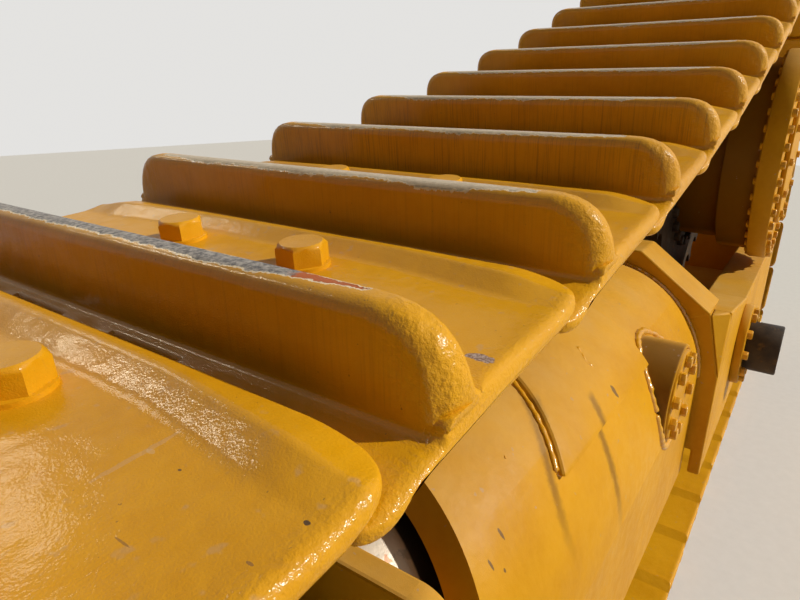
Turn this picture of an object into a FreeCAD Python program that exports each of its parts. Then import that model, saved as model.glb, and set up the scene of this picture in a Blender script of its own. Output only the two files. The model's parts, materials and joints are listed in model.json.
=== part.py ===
import FreeCAD, Part
import Sketcher
import math
import os
import re
from FreeCAD import Placement, Rotation, Vector

# One left-hand elevated-sprocket track unit of a large crawler.
# Frame: millimetres, +X towards the front idler, +Y outboard, +Z up, floor at z = 0.

doc = FreeCAD.newDocument("TrackUnit")
sheet = doc.addObject("Spreadsheet::Sheet", "Sizes")

# Driving sizes: name, value
SIZES = [
    # Track chain and shoes
    ("link_pitch", 216), ("shoe_total", 44), ("shoe_width", 560), ("plate_thick", 17),
    ("grouser_rise", 48), ("grouser_thick", 23), ("grouser_start", 37), ("grouser_corner", 30),
    ("grouser_flare", 9), ("foot_drop", 11),
    ("lip_rise", 4), ("lip_reach", 222), ("tuck_reach", 22), ("link_seat_above_pin", 58),
    ("link_waist_above_pin", 42), ("rail_below_pin", 72), ("link_thick", 42), ("link_offset", 80),
    ("bushing_radius", 36), ("rail_clearance", 5),
    # Path of the pins
    ("idler_pin_radius", 442), ("sprocket_teeth", 27), ("teeth_per_pitch", 2), ("sag_radius", 6120),
    ("sprocket_setback", 696), ("sprocket_z", 1077), ("first_joint", 25),
    # Idlers, their shafts and forks
    ("idler_flange_rise", 22), ("idler_flange_half", 54), ("idler_half", 108), ("idler_rim", 42),
    ("idler_web_half", 24), ("idler_hub_radius", 112), ("idler_hub_half", 98), ("idler_shaft_radius", 58),
    ("shaft_clearance", 0.3), ("fork_start", 124), ("fork_thick", 36), ("fork_depth", 165),
    ("fork_root", 236),
    ("bearing_radius", 98), ("bearing_thick", 34), ("yoke_setback", 427), ("yoke_thick", 30),
    ("yoke_half", 205), ("yoke_top", 812), ("yoke_bottom", 420), ("yoke_corner", 45), ("rear_yoke_drop", 30),
    # Roller frame
    ("tube_radius", 250), ("tube_wall", 36), ("tube_z", 640), ("tube_front_setback", 452),
    ("tube_slant", 24), ("tube_slant_z", 765), ("recoil_clearance", 28), ("recoil_depth", 260),
    ("frame_floor", 460), ("skirt_bottom", 400), ("skirt_thick", 26),
    ("frame_half", 290), ("collar_x", 190), ("collar_thick", 44),
    ("collar_flat", 90), ("collar_top", 916), ("shoulder_y", 253), ("shoulder_z", 798),
    ("side_z", 650), ("box_top", 730), ("box_slope_x", -235), ("channel_half", 190),
    ("channel_floor", 562), ("rear_gap", 12), ("pad_rise", 10), ("pad_start", 540), ("pad_end", 955),
    ("pad_low", 796), ("pad_slant", 42),
    # Bottom rollers and the bars that carry them
    ("roller_first", -1088), ("roller_spacing", 311), ("roller_end_gap", 90), ("roller_radius", 110),
    ("roller_flange_rise", 22), ("roller_flange_thick", 17), ("roller_waist", 86),
    ("roller_waist_half", 56), ("roller_collar", 58), ("bar_gap", 22), ("bar_thick", 30),
    ("bar_lobe", 62), ("bar_arch", 60), ("seat_gap", 0.3),
    # Pivot, trunnion and equalizer seat
    ("pivot_x", 470), ("pivot_z", 722), ("pivot_bore", 66), ("pivot_wall", 29), ("pivot_overhang", 50),
    ("pivot_depth", 420), ("pivot_proud", 2), ("recess_depth", 8), ("recess_cover_radius", 86),
    ("recess_cover_thick", 12), ("cover_clearance", 0.3), ("trunnion_x", -230), ("trunnion_z", 600),
    ("trunnion_radius", 68), ("trunnion_reach", 392), ("trunnion_flange", 112),
    ("trunnion_flange_thick", 22), ("equalizer_x", 960), ("equalizer_z", 580),
    ("equalizer_half", 90), ("equalizer_bore", 38), ("equalizer_reach", 100), ("equalizer_eye", 68),
    # Sprocket and final drive
    ("sprocket_half", 30), ("tooth_rise", 14), ("tooth_clearance", 3), ("sprocket_inner", 240),
    ("drive_flange_radius", 320), ("drive_flange_face", 295), ("drive_flange_thick", 52),
    ("drive_drum_radius", 296), ("drive_drum_start", 150), ("drive_step_radius", 268),
    ("drive_cover_radius", 205), ("drive_cover_rise", 14), ("drive_case_radius", 250),
    ("drive_case_end", 372), ("mount_flange_radius", 300), ("mount_flange_thick", 30),
    ("mount_bolt_circle", 270), ("mount_bolt_radius", 13), ("mount_bolts", 16),
]

COLUMNS = ("A", "B")
value = {}
for row, (alias, size) in enumerate(SIZES, 1):
    sheet.set(COLUMNS[0] + str(row), alias)
    sheet.set(COLUMNS[1] + str(row), str(size))
    sheet.setAlias(COLUMNS[1] + str(row), alias)
    value[alias] = size


def worked_out(alias, size):
    """Add a size that follows from the driving ones."""
    row = len(value) + 1
    sheet.set(COLUMNS[0] + str(row), alias)
    sheet.set(COLUMNS[1] + str(row), repr(size))
    sheet.setAlias(COLUMNS[1] + str(row), alias)
    value[alias] = size


plate_above_pin = value["link_seat_above_pin"] + value["plate_thick"]
pin_floor = value["grouser_rise"] + plate_above_pin
worked_out("idler_z", pin_floor + value["idler_pin_radius"])
worked_out("rail_top", pin_floor + value["rail_below_pin"])
pitches_per_turn = value["sprocket_teeth"] / value["teeth_per_pitch"]
worked_out("sprocket_pin_radius", value["link_pitch"] / 2 / math.sin(math.pi / pitches_per_turn))


# Path of the pins

def polar(centre, radius, angle):
    return (centre[0] + radius * math.cos(angle), centre[1] + radius * math.sin(angle))


def bearing(centre, point):
    return math.atan2(point[1] - centre[1], point[0] - centre[0])


def arc(centre, radius, start, end):
    return {"centre": centre, "radius": radius, "start": start, "end": end,
            "length": abs(end - start) * radius}


def straight(start, end):
    return {"from": start, "to": end, "length": math.dist(start, end)}


def anticlockwise_after(start, end):
    while end < start:
        end += 2 * math.pi
    return end


def pin_path(half_base):
    """Rearward over the sagging upper run and the sprocket, forward along the floor."""
    front = (half_base, value["idler_z"])
    rear = (-half_base, value["idler_z"])
    drive = (-value["sprocket_setback"], value["sprocket_z"])
    idler_radius, drive_radius = value["idler_pin_radius"], value["sprocket_pin_radius"]
    sag = value["sag_radius"]
    # The sag arc curves about a point above, outside both wheels
    to_front, to_drive = sag + idler_radius, sag + drive_radius
    apart = math.dist(front, drive)
    along = (to_front ** 2 - to_drive ** 2 + apart ** 2) / (2 * apart)
    aside = math.sqrt(to_front ** 2 - along ** 2)
    back = ((drive[0] - front[0]) / apart, (drive[1] - front[1]) / apart)
    middle = (front[0] + along * back[0] + aside * back[1],
              front[1] + along * back[1] - aside * back[0])
    leave_front = bearing(front, middle)
    reach_drive = bearing(drive, middle)
    sag_start = leave_front + math.pi
    sag_end = reach_drive + math.pi
    down = math.dist(drive, rear)
    outward = bearing(drive, rear) - math.acos((drive_radius - idler_radius) / down)
    floor_side = -math.pi / 2
    return [
        arc(middle, sag, sag_start, sag_end),
        arc(drive, drive_radius, reach_drive, anticlockwise_after(reach_drive, outward)),
        straight(polar(drive, drive_radius, outward), polar(rear, idler_radius, outward)),
        arc(rear, idler_radius, outward, anticlockwise_after(outward, floor_side)),
        straight(polar(rear, idler_radius, floor_side), polar(front, idler_radius, floor_side)),
        arc(front, idler_radius, floor_side, anticlockwise_after(floor_side, leave_front)),
    ]


def point_on(path, distance):
    distance %= sum(piece["length"] for piece in path)
    for piece in path:
        if distance <= piece["length"]:
            break
        distance -= piece["length"]
    share = distance / piece["length"]
    if "centre" in piece:
        angle = piece["start"] + (piece["end"] - piece["start"]) * share
        return polar(piece["centre"], piece["radius"], angle)
    start, end = piece["from"], piece["to"]
    return (start[0] + (end[0] - start[0]) * share, start[1] + (end[1] - start[1]) * share)


def step_pins(path):
    """Pins one pitch apart as straight chords, and how far the last one overruns the loop."""
    pitch = value["link_pitch"]
    place = value["first_joint"]
    pins = [point_on(path, place)]
    for _ in range(value["shoe_total"]):
        low, high = place + pitch * 0.9, place + pitch * 1.25
        while high - low > 1e-7:
            middle = (low + high) / 2
            if math.dist(pins[-1], point_on(path, middle)) < pitch:
                low = middle
            else:
                high = middle
        place = low
        pins.append(point_on(path, place))
    overrun = place - value["first_joint"] - sum(piece["length"] for piece in path)
    return pins, overrun


def solve_half_base():
    """The idlers' spacing that closes the chain, as the adjuster sets it."""
    low = value["shoe_total"] * value["link_pitch"] * 0.1
    high = value["shoe_total"] * value["link_pitch"] * 0.24
    while high - low > 1e-6:
        middle = (low + high) / 2
        if step_pins(pin_path(middle))[1] > 0:
            low = middle
        else:
            high = middle
    return low


worked_out("half_base", solve_half_base())
pins = step_pins(pin_path(value["half_base"]))[0][:value["shoe_total"]]


# Helpers for objects whose sizes follow the sheet

def from_sheet(text):
    return re.sub(r"[a-z_]+", lambda word: "Sizes." + word[0] if word[0] in value else word[0], text)


def bind(item, **texts):
    """Bind properties; x, y, z and angle stand for parts of the placement."""
    paths = {"x": "Placement.Base.x", "y": "Placement.Base.y", "z": "Placement.Base.z",
             "angle": "Placement.Rotation.Angle"}
    for name, text in texts.items():
        item.setExpression(paths.get(name, name), from_sheet(text))
    return item


def block(name, length, width, height, x, y, z):
    item = doc.addObject("Part::Box", name)
    return bind(item, Length=length, Width=width, Height=height, x=x, y=y, z=z)


ALONG_Y = Rotation(Vector(1, 0, 0), -90)
ALONG_X = Rotation(Vector(0, 1, 0), 90)


def rod(name, radius, length, x, y, z, turn=ALONG_Y):
    """A cylinder from (x, y, z) along +Y, or along +X."""
    item = doc.addObject("Part::Cylinder", name)
    item.Placement = Placement(Vector(), turn)
    return bind(item, Radius=radius, Height=length, x=x, y=y, z=z)


def fuse(name, *items):
    item = doc.addObject("Part::MultiFuse", name)
    item.Shapes = list(items)
    item.Refine = True
    return item


def cut(name, base, *tools):
    item = doc.addObject("Part::Cut", name)
    item.Base = base
    item.Tool = tools[0] if len(tools) == 1 else fuse(name + "_tools", *tools)
    item.Refine = True
    return item


def origin_plane(body, role):
    return next(plane for plane in body.Origin.OriginFeatures if plane.Role == role)


def number(text):
    return -value[text[1:]] if text[0] == "-" else value.get(text, 0)


def outline_sketch(body, name, role, corners):
    """A closed outline; each corner is a pair of names of sizes, or 0 on an axis."""
    sketch = body.newObject("Sketcher::SketchObject", name)
    sketch.AttachmentSupport = [(origin_plane(body, role), "")]
    sketch.MapMode = "FlatFace"
    places = [Vector(number(across), number(up), 0) for across, up in corners]
    count = len(corners)
    for index in range(count):
        sketch.addGeometry(Part.LineSegment(places[index], places[(index + 1) % count]), False)
    for index in range(count):
        sketch.addConstraint(Sketcher.Constraint("Coincident", index, 2, (index + 1) % count, 1))
    axes = {"DistanceX": -2, "DistanceY": -1}
    for index, corner in enumerate(corners):
        for kind, text, size in zip(axes, corner, places[index]):
            if text == "0":
                sketch.addConstraint(Sketcher.Constraint("PointOnObject", index, 1, axes[kind]))
                continue
            place = sketch.addConstraint(Sketcher.Constraint(kind, -1, 1, index, 1, size))
            sketch.setExpression("Constraints[%d]" % place, from_sheet(text))
    return sketch


def turned(label, corners, x, z):
    """A body of revolution about Y; corners are (radius, y)."""
    body = doc.addObject("PartDesign::Body", label)
    sketch = outline_sketch(body, label + "_section", "XY_Plane", corners)
    turn = body.newObject("PartDesign::Revolution", label + "_turn")
    turn.Profile = sketch
    turn.ReferenceAxis = (sketch, ["V_Axis"])
    turn.Angle = 360
    return bind(body, x=x, z=z)


PAD_AXES = {"YZ_Plane": Vector(1, 0, 0), "XZ_Plane": Vector(0, 1, 0)}


def padded(label, role, corners, depth, corner=None, **place):
    """An outline on an origin plane, padded both ways about it; its corners may be rounded."""
    body = doc.addObject("PartDesign::Body", label)
    sketch = outline_sketch(body, label + "_outline", role, corners)
    pad = body.newObject("PartDesign::Pad", label + "_pad")
    pad.Profile = sketch
    pad.Midplane = True
    bind(pad, Length=depth)
    if corner:
        doc.recompute()
        across = ["Edge%d" % index for index, edge in enumerate(pad.Shape.Edges, 1)
                  if edge.tangentAt(edge.FirstParameter).cross(PAD_AXES[role]).Length < 1e-6]
        fillet = body.newObject("PartDesign::Fillet", label + "_round")
        fillet.Base = (pad, across)
        bind(fillet, Radius=corner)
    return bind(body, **place)


def wedge(name, length, width, start_depth, end_depth, x, y, z):
    """An arm along +X from (x, y, z) on its middle line, whose depth changes from start to end."""
    item = doc.addObject("Part::Wedge", name)
    item.Placement = Placement(Vector(), Rotation(Vector(0, 0, 1), -90))
    half_start, half_end = "(%s) / 2" % start_depth, "(%s) / 2" % end_depth
    return bind(item, Ymin="0", Ymax=length, Xmin="-(%s)" % width, Xmax="0", X2min="-(%s)" % width,
                X2max="0", Zmin="-" + half_start, Zmax=half_start, Z2min="-" + half_end,
                Z2max=half_end, x=x, y=y, z=z)


def slanted(name, angle, length, width, height, x, y, z):
    """A block from (x, y, z) whose upright edges lean towards -X by an angle in degrees."""
    item = block(name, length, width, height, x, y, z)
    item.Placement = Placement(Vector(), Rotation(Vector(0, -1, 0), value[angle]))
    return bind(item, angle=angle)


def solid(label, shape):
    item = doc.addObject("Part::Feature", label)
    item.Shape = shape
    return item


# Track: two strands of links, a bushing at each pin, and a single-grouser shoe on each link

def link_frames():
    """Each link's near pin, its direction of travel and its outward normal."""
    for index, pin in enumerate(pins):
        following = pins[(index + 1) % len(pins)]
        along = Vector(following[0] - pin[0], 0, following[1] - pin[1]).normalize()
        yield Vector(pin[0], 0, pin[1]), along, Vector(along.z, 0, -along.x)


def prism(points, start, end):
    """A closed outline in the XZ plane, swept from y = start to y = end."""
    corners = [Vector(point.x, start, point.z) for point in points]
    wire = Part.makePolygon(corners + corners[:1])
    return Part.Face(wire).extrude(Vector(0, end - start, 0))


def shoe_outline():
    """(s from the near pin, rise above the pin) round one shoe and its grouser."""
    top = plate_above_pin
    under = value["link_seat_above_pin"]
    crest = top + value["grouser_rise"]
    near = value["grouser_start"]
    far = near + value["grouser_thick"]
    flare = value["grouser_flare"]
    pitch, thick = value["link_pitch"], value["plate_thick"]
    tuck, lip = value["tuck_reach"], value["lip_reach"]
    return [
        (-tuck, under - thick * 0.6), (-tuck, under), (near - flare, top - value["foot_drop"]),
        (near, crest), (far, crest), (far + flare, top), (pitch - thick, top),
        (lip, top + value["lip_rise"]), (lip, top - thick * 0.3), (pitch - 2 * thick, under),
        (thick * 0.6, under),
    ]


def shoe(near_pin, along, outward):
    """A plate with its grouser, whose top corners are cut off at both ends."""
    def place(s, rise, across):
        return near_pin + along * s + outward * rise + Vector(0, across, 0)

    half = value["shoe_width"] / 2
    outline = [place(s, rise, 0) for s, rise in shoe_outline()]
    crest = plate_above_pin + value["grouser_rise"]
    corner = value["grouser_corner"]
    start = value["grouser_start"] - value["grouser_flare"]
    depth = value["grouser_thick"] + 2 * value["grouser_flare"]
    plate = prism(outline, -half, half)
    for side in (-1, 1):
        points = [place(start, crest - corner, side * half), place(start, crest, side * half),
                  place(start, crest, side * (half - corner))]
        plate = plate.cut(Part.Face(Part.makePolygon(points + points[:1])).extrude(along * depth))
    return plate


def strand_outline():
    """The links' outer edges with a waist at each pin, then the rail edge the other way."""
    outer, rail = [], []
    waist, seat = value["link_waist_above_pin"], value["link_seat_above_pin"]
    pitch, thick = value["link_pitch"], value["plate_thick"]
    frames = list(link_frames())
    for index, (pin, along, outward) in enumerate(frames):
        mean = (outward + frames[index - 1][2]).normalize()
        outer += [pin + mean * waist, pin + along * thick + outward * seat,
                  pin + along * (pitch - 2 * thick) + outward * seat]
        rail.append(pin - mean * value["rail_below_pin"] / mean.dot(outward))
    return outer, rail


def strand(centre):
    outer, rail = strand_outline()
    low, high = centre - value["link_thick"] / 2, centre + value["link_thick"] / 2
    return prism(outer, low, high).cut(prism(rail, low, high))


def bushing(pin):
    inner = value["link_offset"] - value["link_thick"] / 2
    sides = 6
    points = [pin + Vector(math.cos(turn), 0, math.sin(turn)) * value["bushing_radius"]
              for turn in (2 * math.pi * step / sides for step in range(sides))]
    return prism(points, -inner, inner)


frames = list(link_frames())
track_pieces = [strand(value["link_offset"]), strand(-value["link_offset"])]
for near_pin, along, outward in frames:
    track_pieces += [shoe(near_pin, along, outward), bushing(near_pin)]
track = track_pieces[0].multiFuse(track_pieces[1:]).removeSplitter()
solid("track", track)


# Idlers: a wheel that turns on a fixed shaft between two fork arms

worked_out("idler_tread", math.sqrt(value["idler_pin_radius"] ** 2 - (value["link_pitch"] / 2) ** 2)
           - value["rail_below_pin"] - value["rail_clearance"])
worked_out("idler_flange", value["idler_tread"] + value["idler_flange_rise"])
worked_out("idler_inner_rim", value["idler_tread"] - value["idler_rim"])
worked_out("idler_bore", value["idler_shaft_radius"] + value["shaft_clearance"])
IDLER_QUARTER = [
    ("idler_bore", "idler_hub_half"), ("idler_hub_radius", "idler_hub_half"),
    ("idler_hub_radius", "idler_web_half"), ("idler_inner_rim", "idler_web_half"),
    ("idler_inner_rim", "idler_half"), ("idler_tread", "idler_half"),
    ("idler_tread", "idler_flange_half"), ("idler_flange", "idler_flange_half"),
]


def mirrored(quarter):
    """The outline's half on the -Y side, then the same corners back on the +Y side."""
    return [(across, "-" + up) for across, up in quarter] + quarter[::-1]


def idler_set(end, centre, plate_face):
    """Wheel, shaft, fork arms and bearing caps; plate_face is where the arms start."""
    turned(end + "_idler", mirrored(IDLER_QUARTER), centre, "idler_z")
    reach = "fork_start + fork_thick + bearing_thick"
    rod(end + "_idler_shaft", "idler_shaft_radius", "2 * (%s)" % reach, centre, "-(%s)" % reach, "idler_z")
    for side, sign in (("outer", 1), ("inner", -1)):
        name = end + "_fork_" + side
        start = "fork_start" if sign > 0 else "-fork_start - fork_thick"
        low = centre if end == "rear" else plate_face
        length = "abs((%s) - (%s))" % (centre, plate_face)
        depths = ("fork_depth", "fork_root") if end == "rear" else ("fork_root", "fork_depth")
        arm = wedge(name + "_arm", length, "fork_thick", *depths, low, start, "idler_z")
        eye = rod(name + "_eye", "fork_depth / 2", "fork_thick", centre, start, "idler_z")
        hole = rod(name + "_hole", "idler_shaft_radius", "fork_thick", centre, start, "idler_z")
        cut(name, fuse(name + "_plate", arm, eye), hole)
        name = end + "_bearing_" + side
        start = "fork_start + fork_thick" if sign > 0 else "-fork_start - fork_thick - bearing_thick"
        cap = rod(name + "_disc", "bearing_radius", "bearing_thick", centre, start, "idler_z")
        hole = rod(name + "_hole", "idler_shaft_radius", "bearing_thick", centre, start, "idler_z")
        cut(name, cap, hole)


worked_out("yoke_face", value["half_base"] - value["yoke_setback"] + value["yoke_thick"])
worked_out("rear_face", value["idler_flange"] + value["rear_gap"] - value["half_base"])
idler_set("front", "half_base", "yoke_face")
idler_set("rear", "-half_base", "rear_face")
YOKE = [
    ("yoke_half", "yoke_bottom"), ("yoke_half", "yoke_top"), ("-yoke_half", "yoke_top"),
    ("-yoke_half", "yoke_bottom"),
]
padded("front_yoke", "YZ_Plane", YOKE, "yoke_thick", "yoke_corner", x="yoke_face - yoke_thick / 2")
padded("rear_yoke", "YZ_Plane", YOKE, "yoke_thick", "yoke_corner", x="rear_face + yoke_thick / 2",
       z="0 - rear_yoke_drop")


# Roller frame: a telescoping recoil tube in a large tube, a collar plate, and a box to the rear
# whose two raised sides leave a channel for the sprocket; the tube's front leans back at the top

worked_out("tube_front", value["half_base"] - value["tube_front_setback"])
worked_out("recoil_radius", value["tube_radius"] - value["tube_wall"] - value["recoil_clearance"])
worked_out("pivot_inner", value["tube_radius"] + value["pivot_overhang"])
worked_out("pivot_face", value["tube_radius"] + value["pivot_proud"])
worked_out("recess_floor", value["pivot_face"] - value["recess_depth"])
worked_out("pivot_radius", value["pivot_bore"] + value["pivot_wall"])
worked_out("box_rear", value["rear_face"] + value["yoke_thick"])
worked_out("box_front", value["collar_x"] - value["collar_thick"])
rod("recoil_tube", "recoil_radius", "tube_front_setback - yoke_setback + recoil_depth",
    "tube_front - recoil_depth", "0", "tube_z", ALONG_X)
hull = fuse("tube_hull",
            rod("tube_round", "tube_radius", "tube_front - collar_x", "collar_x", "0", "tube_z", ALONG_X),
            block("tube_flanks", "tube_front - collar_x", "2 * tube_radius", "tube_z - skirt_bottom",
                  "collar_x", "-tube_radius", "skirt_bottom"))
cut("frame_tube", hull,
    block("tube_under", "tube_front - collar_x", "2 * (tube_radius - skirt_thick)", "frame_floor",
          "collar_x", "skirt_thick - tube_radius", "0"),
    rod("tube_bore", "tube_radius - tube_wall", "recoil_depth", "tube_front - recoil_depth", "0", "tube_z",
        ALONG_X),
    rod("tube_pivot", "pivot_radius", "4 * tube_radius", "pivot_x", "-2 * tube_radius", "pivot_z"),
    slanted("tube_slope", "tube_slant", "2 * tube_radius", "4 * tube_radius", "2 * tube_radius",
            "tube_front", "-2 * tube_radius", "tube_slant_z"))
COLLAR = [
    ("frame_half", "skirt_bottom"), ("frame_half", "side_z"), ("shoulder_y", "shoulder_z"),
    ("collar_flat", "collar_top"), ("-collar_flat", "collar_top"), ("-shoulder_y", "shoulder_z"),
    ("-frame_half", "side_z"), ("-frame_half", "skirt_bottom"),
]
cut("frame_collar",
    padded("collar_plate", "YZ_Plane", COLLAR, "collar_thick", x="collar_x - collar_thick / 2"),
    block("collar_under", "collar_thick", "2 * (frame_half - skirt_thick)", "frame_floor - skirt_bottom",
          "box_front", "skirt_thick - frame_half", "skirt_bottom"))
BOX_SIDE = [
    ("box_rear", "skirt_bottom"), ("box_front", "skirt_bottom"), ("box_front", "shoulder_z"),
    ("box_slope_x", "box_top"), ("box_rear", "box_top"),
]
cut("frame_box",
    padded("box_hull", "XZ_Plane", BOX_SIDE, "2 * frame_half"),
    block("box_under", "box_front - box_rear", "2 * (frame_half - skirt_thick)",
          "frame_floor - skirt_bottom", "box_rear", "skirt_thick - frame_half", "skirt_bottom"),
    block("box_channel", "box_front - box_rear", "2 * channel_half", "shoulder_z - channel_floor",
          "box_rear", "-channel_half", "channel_floor"))
cut("tube_pad",
    cut("pad_hull",
        rod("pad_round", "tube_radius + pad_rise", "pad_end - pad_start", "pad_start", "0", "tube_z",
            ALONG_X),
        slanted("pad_slope", "pad_slant", "2 * tube_radius", "4 * tube_radius", "2 * tube_radius",
                "pad_end", "-2 * tube_radius", "pad_low")),
    rod("pad_core", "tube_radius", "pad_end - pad_start", "pad_start", "0", "tube_z", ALONG_X),
    block("pad_under", "pad_end - pad_start", "4 * tube_radius", "2 * tube_radius", "pad_start",
          "-2 * tube_radius", "pad_low - 2 * tube_radius"),
    block("pad_side", "pad_end - pad_start", "2 * tube_radius", "2 * tube_radius", "pad_start",
          "-2 * tube_radius", "tube_z"),
    rod("pad_pivot", "pivot_radius", "4 * tube_radius", "pivot_x", "-2 * tube_radius", "pivot_z"))

# Pivot, trunnion and equalizer seat

cut("pivot_housing",
    rod("pivot_barrel", "pivot_radius", "pivot_inner + pivot_face", "pivot_x", "-pivot_inner", "pivot_z"),
    rod("pivot_hole", "pivot_bore", "pivot_depth", "pivot_x", "-pivot_inner", "pivot_z"),
    rod("pivot_recess", "recess_cover_radius + cover_clearance", "recess_depth", "pivot_x",
        "recess_floor", "pivot_z"))
rod("recess_cover", "recess_cover_radius", "recess_cover_thick", "pivot_x", "recess_floor", "pivot_z")
rod("trunnion_flange", "trunnion_flange", "trunnion_flange_thick", "trunnion_x", "frame_half", "trunnion_z")
rod("trunnion_pin", "trunnion_radius", "trunnion_reach - frame_half - trunnion_flange_thick",
    "trunnion_x", "frame_half + trunnion_flange_thick", "trunnion_z")
cut("equalizer_seat",
    fuse("equalizer_lug",
         block("equalizer_arm", "2 * equalizer_half", "equalizer_reach", "2 * equalizer_eye",
               "equalizer_x - equalizer_half", "-tube_radius - equalizer_reach",
               "equalizer_z - equalizer_eye"),
         rod("equalizer_round", "equalizer_eye", "2 * equalizer_half", "equalizer_x - equalizer_half",
             "-tube_radius - equalizer_reach", "equalizer_z", ALONG_X)),
    rod("equalizer_hole", "equalizer_bore", "2 * equalizer_half", "equalizer_x - equalizer_half",
        "-tube_radius - equalizer_reach", "equalizer_z", ALONG_X))


# Bottom rollers, as many as fit, between two bars with a lobe at each roller

worked_out("roller_total", 1 + math.floor((value["tube_front"] - value["roller_end_gap"]
                                           - value["roller_first"]) / value["roller_spacing"]))
worked_out("bar_inner", value["tube_radius"] - value["skirt_thick"] - value["bar_gap"] - value["bar_thick"])
worked_out("roller_z", value["rail_top"] + value["roller_radius"] + value["seat_gap"])
worked_out("roller_flange", value["roller_radius"] + value["roller_flange_rise"])
worked_out("roller_flange_end", value["idler_half"] + value["roller_flange_thick"])
ROLLER_QUARTER = [
    ("0", "bar_inner"), ("roller_collar", "bar_inner"), ("roller_collar", "roller_flange_end"),
    ("roller_flange", "roller_flange_end"), ("roller_flange", "idler_half"),
    ("roller_radius", "idler_half"), ("roller_radius", "roller_waist_half"),
    ("roller_waist", "roller_waist_half"),
]
roller_places = [value["roller_first"] + step * value["roller_spacing"]
                 for step in range(value["roller_total"])]
for step in range(value["roller_total"]):
    turned("roller_%d" % (step + 1), mirrored(ROLLER_QUARTER),
           "roller_first + %d * roller_spacing" % step, "roller_z")


def bar_points():
    """Along the lower edge, down to each roller's lobe and up between them, then back on top."""
    lobe, arch = value["bar_lobe"], value["bar_arch"]
    low, high = value["roller_z"] - lobe, value["roller_z"] + arch
    points = [(value["box_rear"], value["frame_floor"]), (value["box_rear"], high)]
    for place in roller_places:
        points += [(place - lobe * 1.3, high), (place - lobe * 0.8, low),
                   (place + lobe * 0.8, low), (place + lobe * 1.3, high)]
    points[-1] = (value["tube_front"], value["roller_z"])
    points.append((value["tube_front"], value["frame_floor"]))
    return [Vector(x, 0, z) for x, z in points]


bar_start, bar_end = value["bar_inner"], value["bar_inner"] + value["bar_thick"]
solid("roller_bar_outer", prism(bar_points(), bar_start, bar_end))
solid("roller_bar_inner", prism(bar_points(), -bar_end, -bar_start))


# Sprocket and final drive

drive = {"x": "-sprocket_setback", "z": "sprocket_z"}
nearest = min(pins, key=lambda pin: abs(pin[0] + value["sprocket_setback"]) - pin[1])
seat = bearing((-value["sprocket_setback"], value["sprocket_z"]), nearest)
worked_out("sprocket_turn", -math.degrees(seat))
gap_radius = "bushing_radius + tooth_clearance"
teeth = cut("sprocket_blank",
            rod("sprocket_disc", "sprocket_pin_radius + tooth_rise", "2 * sprocket_half", "0",
                "-sprocket_half", "0"),
            rod("sprocket_hole", "sprocket_inner", "2 * sprocket_half", "0", "-sprocket_half", "0"))
gaps = []
for step in range(value["sprocket_teeth"]):
    turn = "%d * 360 / sprocket_teeth" % step
    gaps.append(rod("tooth_gap_%d" % step, gap_radius, "2 * sprocket_half",
                    "sprocket_pin_radius * cos(%s)" % turn, "-sprocket_half",
                    "sprocket_pin_radius * sin(%s)" % turn))
sprocket = cut("sprocket", teeth, *gaps)
sprocket.Placement = Placement(Vector(), Rotation(Vector(0, 1, 0), value["sprocket_turn"]))
bind(sprocket, **drive)
rod("sprocket_carrier", "sprocket_inner", "2 * sprocket_half", drive["x"], "-sprocket_half", drive["z"])
worked_out("drive_flange_back", value["drive_flange_face"] - value["drive_flange_thick"])
turned("final_drive_hub", [
    ("0", "sprocket_half"), ("drive_step_radius", "sprocket_half"),
    ("drive_step_radius", "drive_drum_start"), ("drive_drum_radius", "drive_drum_start"),
    ("drive_drum_radius", "drive_flange_back"), ("drive_flange_radius", "drive_flange_back"),
    ("drive_flange_radius", "drive_flange_face"), ("0", "drive_flange_face")], **drive)
rod("final_drive_cover", "drive_cover_radius", "drive_cover_rise", drive["x"], "drive_flange_face",
    drive["z"])
rod("final_drive_case", "drive_case_radius", "drive_case_end - sprocket_half - mount_flange_thick",
    drive["x"], "mount_flange_thick - drive_case_end", drive["z"])
bolt_holes = []
for step in range(value["mount_bolts"]):
    turn = "%d * 360 / mount_bolts" % step
    bolt_holes.append(rod("mount_hole_%d" % step, "mount_bolt_radius", "mount_flange_thick",
                          "-sprocket_setback + mount_bolt_circle * cos(%s)" % turn, "-drive_case_end",
                          "sprocket_z + mount_bolt_circle * sin(%s)" % turn))
cut("final_drive_flange",
    rod("mount_disc", "mount_flange_radius", "mount_flange_thick", drive["x"], "-drive_case_end", drive["z"]),
    *bolt_holes)


# Build, check and write

doc.recompute()
NODES = ["track", "sprocket", "sprocket_carrier", "final_drive_hub", "final_drive_cover",
         "final_drive_case", "final_drive_flange", "frame_tube", "frame_collar", "frame_box",
         "tube_pad", "recess_cover", "recoil_tube", "pivot_housing", "trunnion_flange",
         "trunnion_pin", "equalizer_seat", "front_yoke", "rear_yoke",
         "roller_bar_outer", "roller_bar_inner"]
for end in ("front", "rear"):
    NODES += [end + "_idler", end + "_idler_shaft"]
    for side in ("outer", "inner"):
        NODES += [end + "_fork_" + side, end + "_bearing_" + side]
NODES += ["roller_%d" % (step + 1) for step in range(value["roller_total"])]

for item in doc.Objects:
    if "Invalid" in item.State or "Error" in item.State:
        raise ValueError(item.Name + " failed: " + str(item.State))
os.makedirs("parts", exist_ok=True)
for node in NODES:
    item = doc.getObject(node)
    item.Label = node
    if item.Shape.isNull() or not item.Shape.isValid() or not item.Shape.Solids:
        raise ValueError(node + " has no valid solid")
    item.Shape.exportStep("parts/" + node + ".step")
print(len(NODES), "nodes written")
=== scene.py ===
import json
import math
import random

import bmesh
import bpy
from mathutils import Matrix, Vector


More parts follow.
